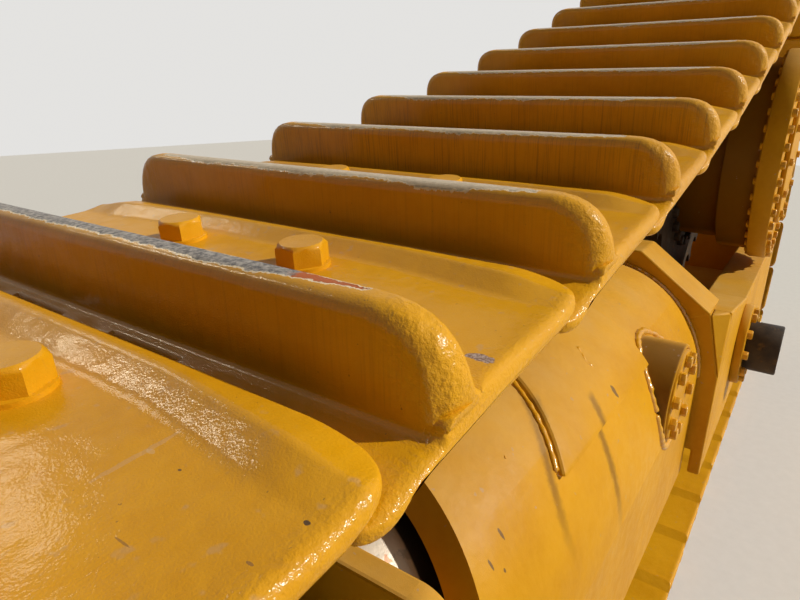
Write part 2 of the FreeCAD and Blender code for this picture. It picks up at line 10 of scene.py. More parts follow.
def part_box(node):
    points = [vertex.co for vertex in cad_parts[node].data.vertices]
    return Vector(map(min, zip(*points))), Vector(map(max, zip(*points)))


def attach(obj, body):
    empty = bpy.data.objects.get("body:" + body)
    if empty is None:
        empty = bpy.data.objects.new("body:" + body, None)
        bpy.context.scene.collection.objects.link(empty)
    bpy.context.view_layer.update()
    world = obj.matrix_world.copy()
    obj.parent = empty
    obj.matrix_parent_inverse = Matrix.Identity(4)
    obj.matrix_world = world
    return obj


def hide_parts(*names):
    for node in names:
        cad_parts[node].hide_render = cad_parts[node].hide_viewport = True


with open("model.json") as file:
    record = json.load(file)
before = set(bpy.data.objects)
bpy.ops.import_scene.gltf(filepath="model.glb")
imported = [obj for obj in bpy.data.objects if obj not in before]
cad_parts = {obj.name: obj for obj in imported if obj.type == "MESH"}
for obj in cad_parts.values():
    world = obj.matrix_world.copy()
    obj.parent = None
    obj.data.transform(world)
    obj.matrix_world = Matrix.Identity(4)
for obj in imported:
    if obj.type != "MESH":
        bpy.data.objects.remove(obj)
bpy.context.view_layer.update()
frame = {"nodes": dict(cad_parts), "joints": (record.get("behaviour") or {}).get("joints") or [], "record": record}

# A left-hand crawler track unit: metres, +X towards the front idler, +Y outboard, +Z up.

scene = bpy.context.scene
nodes = frame["nodes"]

# Driving sizes, as in the part's source

PITCH = 0.216
SHOE_TOTAL = 44
SHOE_WIDTH = 0.560
PLATE_TOP = 0.075
PLATE_UNDER = 0.058
GROUSER_RISE = 0.048
IDLER_PIN_RADIUS = 0.442
SPROCKET_PITCHES = 13.5
SAG_RADIUS = 6.12
FIRST_JOINT = 0.025
RAIL_DROP = 0.072

half_base = frame["joints"][0]["pos_m"][0]
idler_z = frame["joints"][0]["pos_m"][2]
hub_low, hub_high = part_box("final_drive_hub")
DRIVE_X = (hub_low.x + hub_high.x) / 2
DRIVE_Z = (hub_low.z + hub_high.z) / 2
sprocket_pin_radius = PITCH / 2 / math.sin(math.pi / SPROCKET_PITCHES)


# Path of the pins: the sagging upper run, the sprocket, the rear idler, the floor, the front idler

def polar(centre, radius, angle):
    return (centre[0] + radius * math.cos(angle), centre[1] + radius * math.sin(angle))


def bearing(centre, point):
    return math.atan2(point[1] - centre[1], point[0] - centre[0])


def arc(centre, radius, start, end):
    return {"centre": centre, "radius": radius, "start": start, "end": end,
            "length": abs(end - start) * radius}


def straight(start, end):
    return {"from": start, "to": end, "length": math.dist(start, end)}


def anticlockwise_after(start, end):
    while end < start:
        end += 2 * math.pi
    return end


def pin_path():
    front, rear, drive = (half_base, idler_z), (-half_base, idler_z), (DRIVE_X, DRIVE_Z)
    to_front, to_drive = SAG_RADIUS + IDLER_PIN_RADIUS, SAG_RADIUS + sprocket_pin_radius
    apart = math.dist(front, drive)
    along = (to_front ** 2 - to_drive ** 2 + apart ** 2) / (2 * apart)
    aside = math.sqrt(to_front ** 2 - along ** 2)
    back = ((drive[0] - front[0]) / apart, (drive[1] - front[1]) / apart)
    middle = (front[0] + along * back[0] + aside * back[1], front[1] + along * back[1] - aside * back[0])
    leave_front = bearing(front, middle)
    reach_drive = bearing(drive, middle)
    down = math.dist(drive, rear)
    outward = bearing(drive, rear) - math.acos((sprocket_pin_radius - IDLER_PIN_RADIUS) / down)
    floor_side = -math.pi / 2
    return [
        arc(middle, SAG_RADIUS, leave_front + math.pi, reach_drive + math.pi),
        arc(drive, sprocket_pin_radius, reach_drive, anticlockwise_after(reach_drive, outward)),
        straight(polar(drive, sprocket_pin_radius, outward), polar(rear, IDLER_PIN_RADIUS, outward)),
        arc(rear, IDLER_PIN_RADIUS, outward, anticlockwise_after(outward, floor_side)),
        straight(polar(rear, IDLER_PIN_RADIUS, floor_side), polar(front, IDLER_PIN_RADIUS, floor_side)),
        arc(front, IDLER_PIN_RADIUS, floor_side, anticlockwise_after(floor_side, leave_front)),
    ]


def point_on(path, distance):
    distance %= sum(piece["length"] for piece in path)
    for piece in path:
        if distance <= piece["length"]:
            break
        distance -= piece["length"]
    share = distance / piece["length"]
    if "centre" in piece:
        angle = piece["start"] + (piece["end"] - piece["start"]) * share
        return polar(piece["centre"], piece["radius"], angle)
    start, end = piece["from"], piece["to"]
    return (start[0] + (end[0] - start[0]) * share, start[1] + (end[1] - start[1]) * share)


def step_pins():
    """Pins one pitch apart as straight chords."""
    path = pin_path()
    place = FIRST_JOINT
    places = [point_on(path, place)]
    while len(places) < SHOE_TOTAL:
        low, high = place + PITCH * 0.9, place + PITCH * 1.25
        while high - low > 1e-9:
            middle = (low + high) / 2
            if math.dist(places[-1], point_on(path, middle)) < PITCH:
                low = middle
            else:
                high = middle
        place = low
        places.append(point_on(path, place))
    return [Vector((x, 0, z)) for x, z in places]


pins = step_pins()


def link_matrix(index):
    """From a link's own axes (s rearward, y, rise) to the shared frame."""
    near, far = pins[index], pins[(index + 1) % SHOE_TOTAL]
    along = (far - near).normalized()
    outward = Vector((along.z, 0, -along.x))
    return Matrix((
        (along.x, 0, outward.x, near.x),
        (0, 1, 0, 0),
        (along.z, 0, outward.z, near.z),
        (0, 0, 0, 1),
    ))


# Mesh helpers

MERGE_WITHIN, SHORT_EDGE = 2e-5, 1e-5
EDGE_BEVEL = 0.004


def smoothstep(low, high, value):
    share = min(max((value - low) / (high - low), 0.0), 1.0)
    return share * share * (3 - 2 * share)


def rounded(corners):
    """A closed outline from corners (x, y, radius, steps), with an arc at each corner."""
    outline = []
    count = len(corners)
    for index, (x, y, radius, steps) in enumerate(corners):
        here = Vector((x, y))
        before = Vector(corners[index - 1][:2]) - here
        after = Vector(corners[(index + 1) % count][:2]) - here
        room = 0.46 * min(before.length, after.length)
        if steps == 0 or radius <= 0 or room <= 0:
            outline += [here] * (steps + 1)
            continue
        before.normalize()
        after.normalize()
        half = before.angle(after) / 2
        if half > math.pi / 2 - 1e-3:
            outline += [here] * (steps + 1)
            continue
        reach = min(radius / math.tan(half), room)
        radius = reach * math.tan(half)
        middle = here + (before + after).normalized() * (radius / math.sin(half))
        start = here + before * reach - middle
        end = here + after * reach - middle
        turn = start.angle_signed(end)
        for step in range(steps + 1):
            angle = -turn * step / steps
            spin = Matrix.Rotation(angle, 2)
            outline.append(middle + spin @ start)
    return outline


def loft_faces(rings, size):
    """Faces of a form lofted through rings of size points each, closed at both ends."""
    faces = []
    for ring in range(rings - 1):
        for index in range(size):
            following = (index + 1) % size
            faces.append((ring * size + index, ring * size + following,
                          (ring + 1) * size + following, (ring + 1) * size + index))
    faces.append(tuple(reversed(range(size))))
    faces.append(tuple((rings - 1) * size + index for index in range(size)))
    return faces


def cleaned(points, faces):
    """The same form with doubled points merged and every face turned outward."""
    mesh = bmesh.new()
    corners = [mesh.verts.new(point) for point in points]
    for face in faces:
        mesh.faces.new([corners[index] for index in face])
    bmesh.ops.remove_doubles(mesh, verts=mesh.verts, dist=MERGE_WITHIN)
    bmesh.ops.dissolve_degenerate(mesh, dist=SHORT_EDGE, edges=mesh.edges)
    bmesh.ops.recalc_face_normals(mesh, faces=mesh.faces)
    mesh.verts.index_update()
    points = [corner.co.copy() for corner in mesh.verts]
    faces = [tuple(corner.index for corner in face.verts) for face in mesh.faces]
    mesh.free()
    return points, faces


def new_piece(name, points, faces, slot, sharp=35, own=None, which=None):
    """A piece that rides on the frame, with each point's link and place on it where they are given."""
    mesh = bpy.data.meshes.new(name)
    mesh.from_pydata([tuple(point) for point in points], [], faces)
    mesh.update()
    mesh.shade_smooth()
    mesh.set_sharp_from_angle(angle=math.radians(sharp))
    if own is not None:
        attribute = mesh.attributes.new("own", "FLOAT_VECTOR", "POINT")
        attribute.data.foreach_set("vector", [value for point in own for value in point])
    if which is not None:
        attribute = mesh.attributes.new("which", "FLOAT", "POINT")
        attribute.data.foreach_set("value", which)
    item = bpy.data.objects.new(name, mesh)
    scene.collection.objects.link(item)
    mesh.materials.append(materials[slot])
    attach(item, "frame")
    return item


# Materials

class Nodes:
    """A node tree, with one call for each kind of node."""

    def __init__(self, tree):
        self.tree = tree

    def node(self, kind, settings=None, **inputs):
        item = self.tree.nodes.new(kind)
        for name, value in (settings or {}).items():
            setattr(item, name, value)
        for name, value in inputs.items():
            numbered = name.startswith("in") and name[2:].isdigit()
            key = int(name[2:]) if numbered else name.replace("_", " ")
            self.set(item.inputs[key], value)
        return item

    def set(self, socket, value):
        if isinstance(value, bpy.types.NodeSocket):
            self.tree.links.new(value, socket)
        else:
            socket.default_value = value

    def source(self, attribute=None):
        """The object's coordinates, or an attribute."""
        if attribute:
            return self.node("ShaderNodeAttribute", {"attribute_name": attribute}).outputs["Vector"]
        return self.node("ShaderNodeTexCoord").outputs["Object"]

    def place(self, scale=(1, 1, 1), attribute=None):
        return self.node("ShaderNodeMapping", Vector=self.source(attribute), Scale=scale).outputs["Vector"]

    def split(self, vector):
        return self.node("ShaderNodeSeparateXYZ", Vector=vector).outputs

    def noise(self, scale, detail=2.0, roughness=0.5, vector=None):
        item = self.node("ShaderNodeTexNoise", Scale=scale, Detail=detail, Roughness=roughness)
        self.set(item.inputs["Vector"], vector if vector is not None else self.place())
        return item.outputs["Fac"]

    def maths(self, operation, first, second=0.0, third=None):
        item = self.node("ShaderNodeMath", {"operation": operation}, in0=first, in1=second)
        if third is not None:
            self.set(item.inputs[2], third)
        return item.outputs[0]

    def times(self, first, *others):
        for other in others:
            first = self.maths("MULTIPLY", first, other)
        return first

    def plus(self, first, second):
        return self.maths("ADD", first, second)

    def minus(self, first, second):
        return self.maths("SUBTRACT", first, second)

    def spread(self, value, low, high, start=0.0, end=1.0, smooth=True):
        """Map low..high to start..end, clamped."""
        settings = {"interpolation_type": "SMOOTHSTEP" if smooth else "LINEAR"}
        item = self.node("ShaderNodeMapRange", settings, Value=value)
        item.inputs["From Min"].default_value = low
        item.inputs["From Max"].default_value = high
        item.inputs["To Min"].default_value = start
        item.inputs["To Max"].default_value = end
        return item.outputs["Result"]

    def sway(self, noise, reach, smooth=False):
        """Noise turned into a shift of up to reach either way."""
        return self.spread(noise, 0.3, 0.7, -reach, reach, smooth)

    def mix(self, share, first, second):
        item = self.node("ShaderNodeMix", {"data_type": "RGBA"})
        self.set(item.inputs[0], share)
        for socket, value in ((item.inputs[6], first), (item.inputs[7], second)):
            self.set(socket, value if isinstance(value, bpy.types.NodeSocket) else (*value, 1.0))
        return item.outputs[2]

    def bump(self, height, distance, normal=None):
        item = self.node("ShaderNodeBump", Height=height, Distance=distance, Strength=1.0)
        if normal is not None:
            self.set(item.inputs["Normal"], normal)
        return item.outputs["Normal"]


class Shader(Nodes):
    """A new material's node tree."""

    def __init__(self, name):
        self.material = bpy.data.materials.new(name)
        self.material.use_nodes = True
        super().__init__(self.material.node_tree)

    def finish(self, **inputs):
        surface = self.tree.nodes["Principled BSDF"]
        for name, value in inputs.items():
            self.set(surface.inputs[name.replace("_", " ")], value)
        return self.material


# Colours

YELLOW = (0.640, 0.300, 0.004)
YELLOW_DEEP = (0.560, 0.249, 0.002)
YELLOW_PALE = (0.690, 0.350, 0.018)
FRAME_LEVEL = 0.90
SCUFF = (0.36, 0.28, 0.22)
SPECK = (0.10, 0.05, 0.02)
CRACK = (0.24, 0.12, 0.04)
STREAK = (0.22, 0.095, 0.010)
RUN_COLOUR = (0.190, 0.085, 0.006)
TUBE_SPOT = (0.090, 0.050, 0.025)
DUST = (0.56, 0.36, 0.13)
# Colour of the painted shade on the front of the boss and the drum
PAINTED_SHADE_COLOUR = (0.120, 0.045, 0.002)
FILLER = (0.82, 0.70, 0.50)
CHIP_PALE = (0.42, 0.33, 0.30)
WORN_STEEL = ((0.095, 0.088, 0.085), (0.40, 0.36, 0.32))
# Worn steel of the far links, paler as a painted sheen
WORN_STEEL_FAR_SHEEN = (0.72, 0.58, 0.40)
RUST = (0.42, 0.10, 0.02)
# Black of the painted shade inside the frame tube's mouth
INSIDE_SHADE_BLACK = (0.010, 0.008, 0.006)
OILY_STEEL = ((0.030, 0.022, 0.016), (0.075, 0.052, 0.032))
OVERSPRAY = (0.33, 0.16, 0.02)
RECOIL_STEEL = ((0.36, 0.32, 0.25), (0.52, 0.44, 0.33))
RECOIL_RUST = (0.42, 0.16, 0.05)
RECOIL_SPOT = (0.10, 0.08, 0.07)


# Paint, bumps and marks for the materials

def paint_base(shader, vector, level=1.0):
    """Yellow paint's colour, with slow shifts and fine mottling."""
    tones = (YELLOW, YELLOW_DEEP, YELLOW_PALE)
    full, deep, light_tone = (tuple(level * part for part in tone) for tone in tones)
    slow = shader.spread(shader.noise(6.0, 3.0, 0.55, vector), 0.35, 0.65)
    fine = shader.spread(shader.noise(90.0, 4.0, 0.6, vector), 0.3, 0.7)
    return shader.mix(shader.times(fine, 0.22), shader.mix(slow, deep, full), light_tone)


def paint_bump(shader, vector, waves=0.0012, grain=0.00016):
    """Waves in the steel, ripples on them and a fine grain."""
    normal = shader.bump(shader.noise(22.0, 3.0, 0.5, vector), waves)
    normal = shader.bump(shader.noise(130.0, 2.0, 0.5, vector), 0.00022, normal)
    return shader.bump(shader.noise(900.0, 2.0, 0.6, vector), grain, normal)


def specks(shader, vector, scale, low, high):
    """Sparse spots, 1 inside and 0 outside."""
    return shader.spread(shader.noise(scale, 2.0, 0.5, vector), low, high)


def spot(shader, first, second, ragged, place, reach):
    """One ragged patch about a place on two axes, 1 inside and 0 outside."""
    aside = shader.maths("DIVIDE", shader.minus(first, place[0]), reach[0])
    along = shader.maths("DIVIDE", shader.minus(second, place[1]), reach[1])
    away = shader.plus(shader.times(aside, aside), shader.times(along, along))
    return shader.spread(shader.plus(away, shader.sway(ragged, 0.7)), 0.85, 1.15, 1.0, 0.0)


def cracks(shader, vector):
    """Fine lines between large cells, seen only in places."""
    sway = shader.node("ShaderNodeTexNoise", Scale=30.0, Detail=3.0, Vector=vector).outputs["Color"]
    small = shader.node("ShaderNodeVectorMath", {"operation": "SCALE"}, Scale=0.012, in0=sway).outputs[0]
    bent = shader.node("ShaderNodeVectorMath", {"operation": "ADD"}, in0=vector, in1=small).outputs[0]
    cells = shader.node("ShaderNodeTexVoronoi", {"feature": "DISTANCE_TO_EDGE"}, Scale=17.0, Vector=bent)
    line = shader.spread(cells.outputs["Distance"], 0.004, 0.014, 1.0, 0.0)
    return shader.times(line, shader.spread(shader.noise(14.0, 3.0, 0.6, vector), 0.52, 0.62))


# Dark runs down the tube: lowest z, x there, slope and bend of x with the rise, and its top
DARK_RUNS = ((0.690, 0.972, 0.68, -6.6, 0.865), (0.620, 0.795, 0.41, -2.2, 0.835))
RUN_HALF_WIDTH, RUN_FADE = 0.015, 0.12
# Dark spots on the tube: x, z, and reach in x and z
TUBE_SPOTS = ((1.099, 0.804, 0.002, 0.005), (1.136, 0.795, 0.002, 0.005), (1.122, 0.782, 0.002, 0.002),
              (0.715, 0.812, 0.005, 0.008))
# Painted shade around an axis along Y, darkening the front of the boss and of the drum: its x and z, inner and
# outer radius, outboard end, and where it starts in x from the axis
PAINTED_SHADE_RINGS = ((0.470, 0.722, 0.0905, 0.100, 0.254, -0.030), (DRIVE_X, DRIVE_Z, 0.200, 0.310, 0.243, 0.100))


def tube_runs_and_spots(shader, colour, own, ragged):
    """Runs and spots on the tube's outboard side."""
    outboard = shader.spread(own["Y"], 0.05, 0.12)
    for low, start, slope, bend, top in DARK_RUNS:
        rise = shader.minus(own["Z"], low)
        centre = shader.times(rise, shader.plus(shader.times(rise, bend), slope))
        away = shader.minus(shader.minus(own["X"], start), centre)
        away = shader.maths("ABSOLUTE", shader.plus(away, shader.sway(ragged, 0.002, smooth=True)))
        run = shader.times(shader.spread(away, 0.001, RUN_HALF_WIDTH, 1.0, 0.0),
                           shader.spread(rise, 0.0, RUN_FADE),
                           shader.spread(own["Z"], top, top - 0.010), outboard, 0.78)
        colour = shader.mix(run, colour, RUN_COLOUR)
    for x, z, wide, tall in TUBE_SPOTS:
        dirty = spot(shader, own["X"], own["Z"], ragged, (x, z), (wide, tall))
        colour = shader.mix(shader.times(dirty, outboard, 0.8), colour, TUBE_SPOT)
    return colour


def dust_and_painted_shade(shader, colour, vector, own):
    """Dust on what faces up, and painted shade on the front of round pieces."""
    facing = shader.split(shader.node("ShaderNodeNewGeometry").outputs["Normal"])
    dust = shader.spread(shader.noise(7.0, 5.0, 0.62, vector), 0.30, 0.70, 0.35, 1.0)
    colour = shader.mix(shader.times(dust, shader.spread(facing["Z"], 0.60, 0.98, 0.0, 0.50)), colour, DUST)
    # Painted shade: the front of the boss and of the drum darkened where shade falls
    for axis_x, axis_z, inner, outer, side, start in PAINTED_SHADE_RINGS:
        out_x = shader.minus(own["X"], axis_x)
        out_z = shader.minus(own["Z"], axis_z)
        reach = shader.maths("SQRT", shader.plus(shader.times(out_x, out_x), shader.times(out_z, out_z)))
        painted_shade = shader.times(shader.spread(reach, inner - 0.002, inner),
                             shader.spread(reach, outer + 0.003, outer),
                             shader.spread(own["Y"], side, side - 0.006),
                             shader.spread(out_x, start, start + 0.045), 0.80)
        colour = shader.mix(painted_shade, colour, PAINTED_SHADE_COLOUR)
    return colour


def yellow_paint():
    shader = Shader("yellow_paint")
    vector = shader.place()
    own = shader.split(shader.source())
    ragged = shader.noise(85.0, 4.0, 0.6, vector)
    colour = paint_base(shader, vector, FRAME_LEVEL)
    colour = tube_runs_and_spots(shader, colour, own, ragged)
    colour = dust_and_painted_shade(shader, colour, vector, own)
    dots = specks(shader, vector, 75.0, 0.72, 0.75)
    colour = shader.mix(shader.times(dots, 0.35), colour, SCUFF)
    rough = shader.spread(shader.noise(40.0, 3.0, 0.6, vector), 0.3, 0.7, 0.46, 0.60)
    normal = paint_bump(shader, vector)
    return shader.finish(Base_Color=colour, Roughness=rough, Normal=normal, Coat_Normal=normal,
                         Coat_Weight=0.04, Coat_Roughness=0.30, Specular_IOR_Level=0.10)


# Chips and smears on the first shoes: link, s, y, reach in s and y, colour, share
SHOE_MARKS = (
    (1, 0.0985, 0.264, (0.0040, 0.0090), (0.15, 0.10, 0.09), 0.90),
    (0, 0.1750, 0.267, (0.0013, 0.0019), (0.035, 0.022, 0.018), 0.90),
    (0, 0.1685, 0.2034, (0.0006, 0.0009), (0.05, 0.03, 0.02), 0.80),
    (0, 0.1695, 0.1819, (0.0014, 0.0030), (0.60, 0.40, 0.20), 0.40),
    (0, 0.1330, 0.2207, (0.0005, 0.0045), (0.16, 0.08, 0.03), 0.60),
    (0, 0.1510, 0.2643, (0.0006, 0.0015), (0.12, 0.06, 0.04), 0.60),
    (0, 0.1640, 0.1800, (0.0190, 0.0018), (0.50, 0.33, 0.20), 0.30),
)
# Where a shoe's surfaces begin in its own axes: rise and s of the plate, s and rise of the grouser's
# near face, rise of the plate's top, side edge, and side, s and rise of the grouser's end
PLATE_BELOW, PLATE_BEHIND = (0.095, 0.088), (0.070, 0.080)
FACE_BEFORE, FACE_ABOVE = (0.046, 0.040), (0.068, 0.078)
TOP_ABOVE, SIDE_EDGE = (0.066, 0.070), (0.258, 0.274)
END_ASIDE, END_BEFORE, END_ABOVE = (0.226, 0.258), (0.090, 0.060), (0.066, 0.082)
# The worn strip on a crest: its near border on the first two links and on the others, its far
# border, its end, its height and its paler rim
WORN_NEAR, WORN_FAR, WORN_END = (0.0458, 0.0425), 0.0588, 0.2265
WORN_ABOVE, WORN_RIM = (0.1160, 0.1175), 0.0011
# Links are numbered from 0: the far ones start at 2, and 3 and 4 (a middle and a reach) are streaked
FAR_LINKS, STREAKED_LINKS = (1.4, 1.6), (3.5, 0.6)
# What welds carry in place of a link's number
WELD_MARK = 100.0


def plate_wear(shader, colour, vector, own):
    """Scuffs and cracks on the plates, and specks on all of the shoe."""
    plate = shader.times(shader.spread(own["Z"], *PLATE_BELOW), shader.spread(own["X"], *PLATE_BEHIND))
    scuffs = specks(shader, vector, 95.0, 0.64, 0.74)
    colour = shader.mix(shader.times(scuffs, plate, 0.24), colour, SCUFF)
    dots = specks(shader, vector, 260.0, 0.745, 0.77)
    colour = shader.mix(shader.times(dots, 0.5), colour, SPECK)
    return shader.mix(shader.times(cracks(shader, vector), plate, 0.12), colour, CRACK)


def face_streaks(shader, colour, own, which):
    """Fine runs down the grousers' faces, darker on the streaked links."""
    streaks = shader.noise(1.0, 3.0, 0.6, shader.place((60.0, 620.0, 16.0), "own"))
    face = shader.times(shader.spread(own["X"], *FACE_BEFORE), shader.spread(own["Z"], *FACE_ABOVE))
    dirty = shader.maths("COMPARE", which, *STREAKED_LINKS)
    share = shader.plus(shader.times(dirty, 0.35), 0.18)
    return shader.mix(shader.times(shader.spread(streaks, 0.45, 0.75), face, share), colour, STREAK)


def chips(shader, colour, vector, own, which, ragged):
    speckle = shader.spread(shader.noise(620.0, 2.0, 0.6, vector), 0.40, 0.62)
    for index, s, across, reach, tint, share in SHOE_MARKS:
        marked = spot(shader, own["X"], own["Y"], ragged, (s, across), reach)
        marked = shader.times(marked, shader.maths("COMPARE", which, float(index)),
                              shader.spread(own["Z"], *TOP_ABOVE), share)
        colour = shader.mix(marked, colour, tint if index == 0 else shader.mix(speckle, tint, CHIP_PALE))
    return colour


def worn_crest(shader, colour, vector, own, which, ragged):
    """The crest worn to steel in a strip with uneven edges: the new colour and the strip's mask."""
    aside = shader.maths("ABSOLUTE", own["Y"])
    shifted = shader.plus(own["X"], shader.sway(ragged, 0.0020))
    shifted = shader.plus(shifted, shader.sway(shader.noise(14.0, 2.0, 0.5, vector), 0.0022))
    taper = shader.spread(aside, 0.150, 0.232, 0.0, 0.0052)
    ends = shader.plus(aside, shader.sway(ragged, 0.004))
    top = shader.spread(own["Z"], *WORN_ABOVE)

    def strip(grow):
        near = shader.spread(which, *FAR_LINKS, WORN_NEAR[0] - grow, WORN_NEAR[1] - grow)
        front = shader.minus(shader.minus(shifted, taper), near)
        back = shader.minus(WORN_FAR + grow, shader.plus(shifted, taper))
        along = shader.spread(shader.maths("MINIMUM", front, back), 0.0, 0.0005)
        return shader.times(along, shader.spread(ends, WORN_END + grow, WORN_END - 0.002 + grow), top)

    worn = strip(0.0)
    colour = shader.mix(shader.times(strip(WORN_RIM), 0.85), colour, FILLER)
    steel = shader.mix(shader.spread(shader.noise(240.0, 5.0, 0.7, vector), 0.35, 0.65), *WORN_STEEL)
    # Paler on the far links: the worn steel with a painted sheen, as lit crests look from a low angle
    steel = shader.mix(shader.spread(which, *FAR_LINKS, 0.0, 0.65), steel, WORN_STEEL_FAR_SHEEN)
    # Rust on the outboard end of the second shoe's strip
    across = shader.plus(own["Y"], shader.sway(ragged, 0.006, smooth=True))
    rusty = shader.times(shader.spread(across, 0.176, 0.184), shader.maths("COMPARE", which, 1.0))
    return shader.mix(worn, colour, shader.mix(rusty, steel, RUST)), worn


def shoe_paint():
    shader = Shader("track_paint")
    vector = shader.place()
    own = shader.split(shader.source("own"))
    which = shader.node("ShaderNodeAttribute", {"attribute_name": "which"}).outputs["Fac"]
    ragged = shader.noise(85.0, 5.0, 0.7, vector)
    colour = paint_base(shader, vector)
    colour = plate_wear(shader, colour, vector, own)
    colour = face_streaks(shader, colour, own, which)
    colour = chips(shader, colour, vector, own, which, ragged)
    colour, worn = worn_crest(shader, colour, vector, own, which, ragged)
    rough = shader.spread(shader.noise(60.0, 3.0, 0.6, vector), 0.3, 0.7, 0.42, 0.56)
    # Rough casting at the sides and the grousers' ends
    aside = shader.maths("ABSOLUTE", own["Y"])
    end = shader.times(shader.spread(aside, *END_ASIDE), shader.spread(own["X"], *END_BEFORE),
                       shader.spread(own["Z"], *END_ABOVE, 0.25, 1.0))
    lumps = shader.times(shader.noise(85.0, 5.0, 0.62, vector), end)
    pebbles = shader.times(shader.noise(330.0, 2.0, 0.5, vector), shader.spread(aside, *SIDE_EDGE))
    normal = paint_bump(shader, vector, 0.0016, 0.00024)
    for height, distance in ((lumps, 0.0028), (pebbles, 0.0006), (worn, -0.0006)):
        normal = shader.bump(height, distance, normal)
    # The coat's own, finer surface
    peel = None
    for scale, detail, distance in ((22.0, 3.0, 0.0016), (150.0, 2.0, 0.00012), (700.0, 1.0, 0.00010)):
        peel = shader.bump(shader.noise(scale, detail, 0.5, vector), distance, peel)
    for height, distance in ((lumps, 0.0012), (pebbles, 0.0010)):
        peel = shader.bump(height, distance, peel)
    # Welds are glossier than the shoes
    welded = (WELD_MARK - 1, WELD_MARK)
    coat = shader.times(shader.minus(1.0, worn), shader.spread(which, *welded, 0.25, 0.55))
    return shader.finish(Base_Color=colour, Roughness=rough, Normal=normal, Coat_Normal=peel,
                         Coat_Weight=coat, Coat_Roughness=shader.spread(which, *welded, 0.12, 0.16),
                         Coat_IOR=shader.spread(which, *welded, 1.5, 1.8), Specular_IOR_Level=0.10)


def dark_steel():
    shader = Shader("dark_steel")
    vector = shader.place()
    oily = shader.spread(shader.noise(9.0, 5.0, 0.6, vector), 0.35, 0.65)
    spray = shader.spread(shader.noise(30.0, 5.0, 0.7, vector), 0.55, 0.75)
    colour = shader.mix(shader.times(spray, 0.35), shader.mix(oily, *OILY_STEEL), OVERSPRAY)
    rough = shader.spread(oily, 0.0, 1.0, 0.45, 0.70)
    normal = shader.bump(shader.noise(160.0, 4.0, 0.6, vector), 0.0006)
    return shader.finish(Base_Color=colour, Roughness=rough, Normal=normal, Metallic=0.1,
                         Specular_IOR_Level=0.12)


# The mouth of the frame's tube, which slants back above a height
TUBE_FRONT, TUBE_SLANT_Z, TUBE_SLANT = half_base - 0.452, 0.765, math.tan(math.radians(24))


def pale_steel():
    shader = Shader("pale_steel")
    vector = shader.place()
    flaky = shader.noise(38.0, 6.0, 0.65, vector)
    colour = shader.mix(shader.spread(flaky, 0.42, 0.5), *RECOIL_STEEL)
    rusty = specks(shader, vector, 46.0, 0.64, 0.68)
    colour = shader.mix(shader.times(rusty, 0.8), colour, RECOIL_RUST)
    dark = specks(shader, vector, 28.0, 0.68, 0.71)
    colour = shader.mix(shader.times(dark, 0.85), colour, RECOIL_SPOT)
    # Painted shade: black on the part that slides into the tube, where the tube's mouth shades it
    own = shader.split(shader.source())
    high = shader.maths("MAXIMUM", shader.minus(own["Z"], TUBE_SLANT_Z), 0.0)
    mouth = shader.minus(TUBE_FRONT - 0.010, shader.times(high, TUBE_SLANT))
    shaded_inside = shader.spread(shader.minus(own["X"], mouth), 0.002, -0.002)
    colour = shader.mix(shaded_inside, colour, INSIDE_SHADE_BLACK)
    return shader.finish(Base_Color=colour, Roughness=0.42, Normal=shader.bump(flaky, 0.0008), Metallic=0.25)


materials = {
    "yellow_paint": yellow_paint(),
    "track_paint": shoe_paint(),
    "dark_steel": dark_steel(),
    "pale_steel": pale_steel(),
}


# The shoe: one section lofted across the width

NEAR_TIP, FAR_LIP = -0.022, 0.222
TIP_UNDER = 0.048
LIP_RISE = 0.0085
EDGE_ROUND = 0.0085
FAR_CORNER, NEAR_CORNER = 0.030, 0.016
NOTCH = (0.030, 0.103)
NOTCH_FLOOR = 0.023
CREST_END, GROUSER_END = 0.225, 0.268
GROUSER_BACK, GROUSER_LEAN = 0.070, 0.012


def inset(across, end, radius):
    """How far a rounded corner has pulled in at this place across."""
    into = max(0.0, across - (end - radius))
    return radius - math.sqrt(max(radius ** 2 - into ** 2, 0.0))


def shoe_middle(s):
    """The rise of the plate's mid-plane, which its rounded sides close on."""
    return 0.053 + 0.0085 * smoothstep(-0.012, 0.024, s) + 0.0055 * smoothstep(0.030, 0.066, s)


def shoe_section(across):
    """The outline (s from the near pin, rise above the pin) at one place across the shoe."""
    half = SHOE_WIDTH / 2
    place = abs(across)
    edge = inset(place, half, EDGE_ROUND)
    near = NEAR_TIP + inset(place, half, NEAR_CORNER) + edge
    far = FAR_LIP - inset(place, half, FAR_CORNER) - edge
    shrink = 1 - 0.94 * edge / EDGE_ROUND
    if NOTCH[0] < place < NOTCH[1]:
        near = NOTCH_FLOOR
    reach = min(max((place - CREST_END) / (GROUSER_END - CREST_END), 0.0), 1.0)
    tall = GROUSER_RISE * (1 - reach ** 2.4) ** (1 / 2.2)
    lip = LIP_RISE * (1 - 0.8 * smoothstep(0.225, 0.276, place))
    pull = 0.012 * smoothstep(0.120, 0.250, place)
    top, under = PLATE_TOP, PLATE_UNDER
    outline = rounded([
        (near, TIP_UNDER, 0.002, 1),
        (near, PLATE_UNDER, 0.004, 3),
        (0.028, 0.0645, 0.004, 3),
        (0.0355, 0.0665, 0.012, 5),
        (0.0385, top + tall + 0.0008, 0.0105, 6),
        (0.0600, top + tall, 0.0055, 4),
        (0.0655, top, 0.012, 5),
        (0.0860, top - 0.0002, 0, 0),
        (0.190 - pull, top - 0.0012, 0.022, 6),
        (0.211 - pull, top + lip, 0.012, 6),
        (far, top + lip - 0.0035, 0.006, 4),
        (far, top - 0.010, 0.004, 3),
        (0.182, under, 0.010, 3),
        (0.012, under, 0.010, 3),
    ])
    return [(s, shoe_middle(s) + (rise - shoe_middle(s)) * shrink) for s, rise in outline]


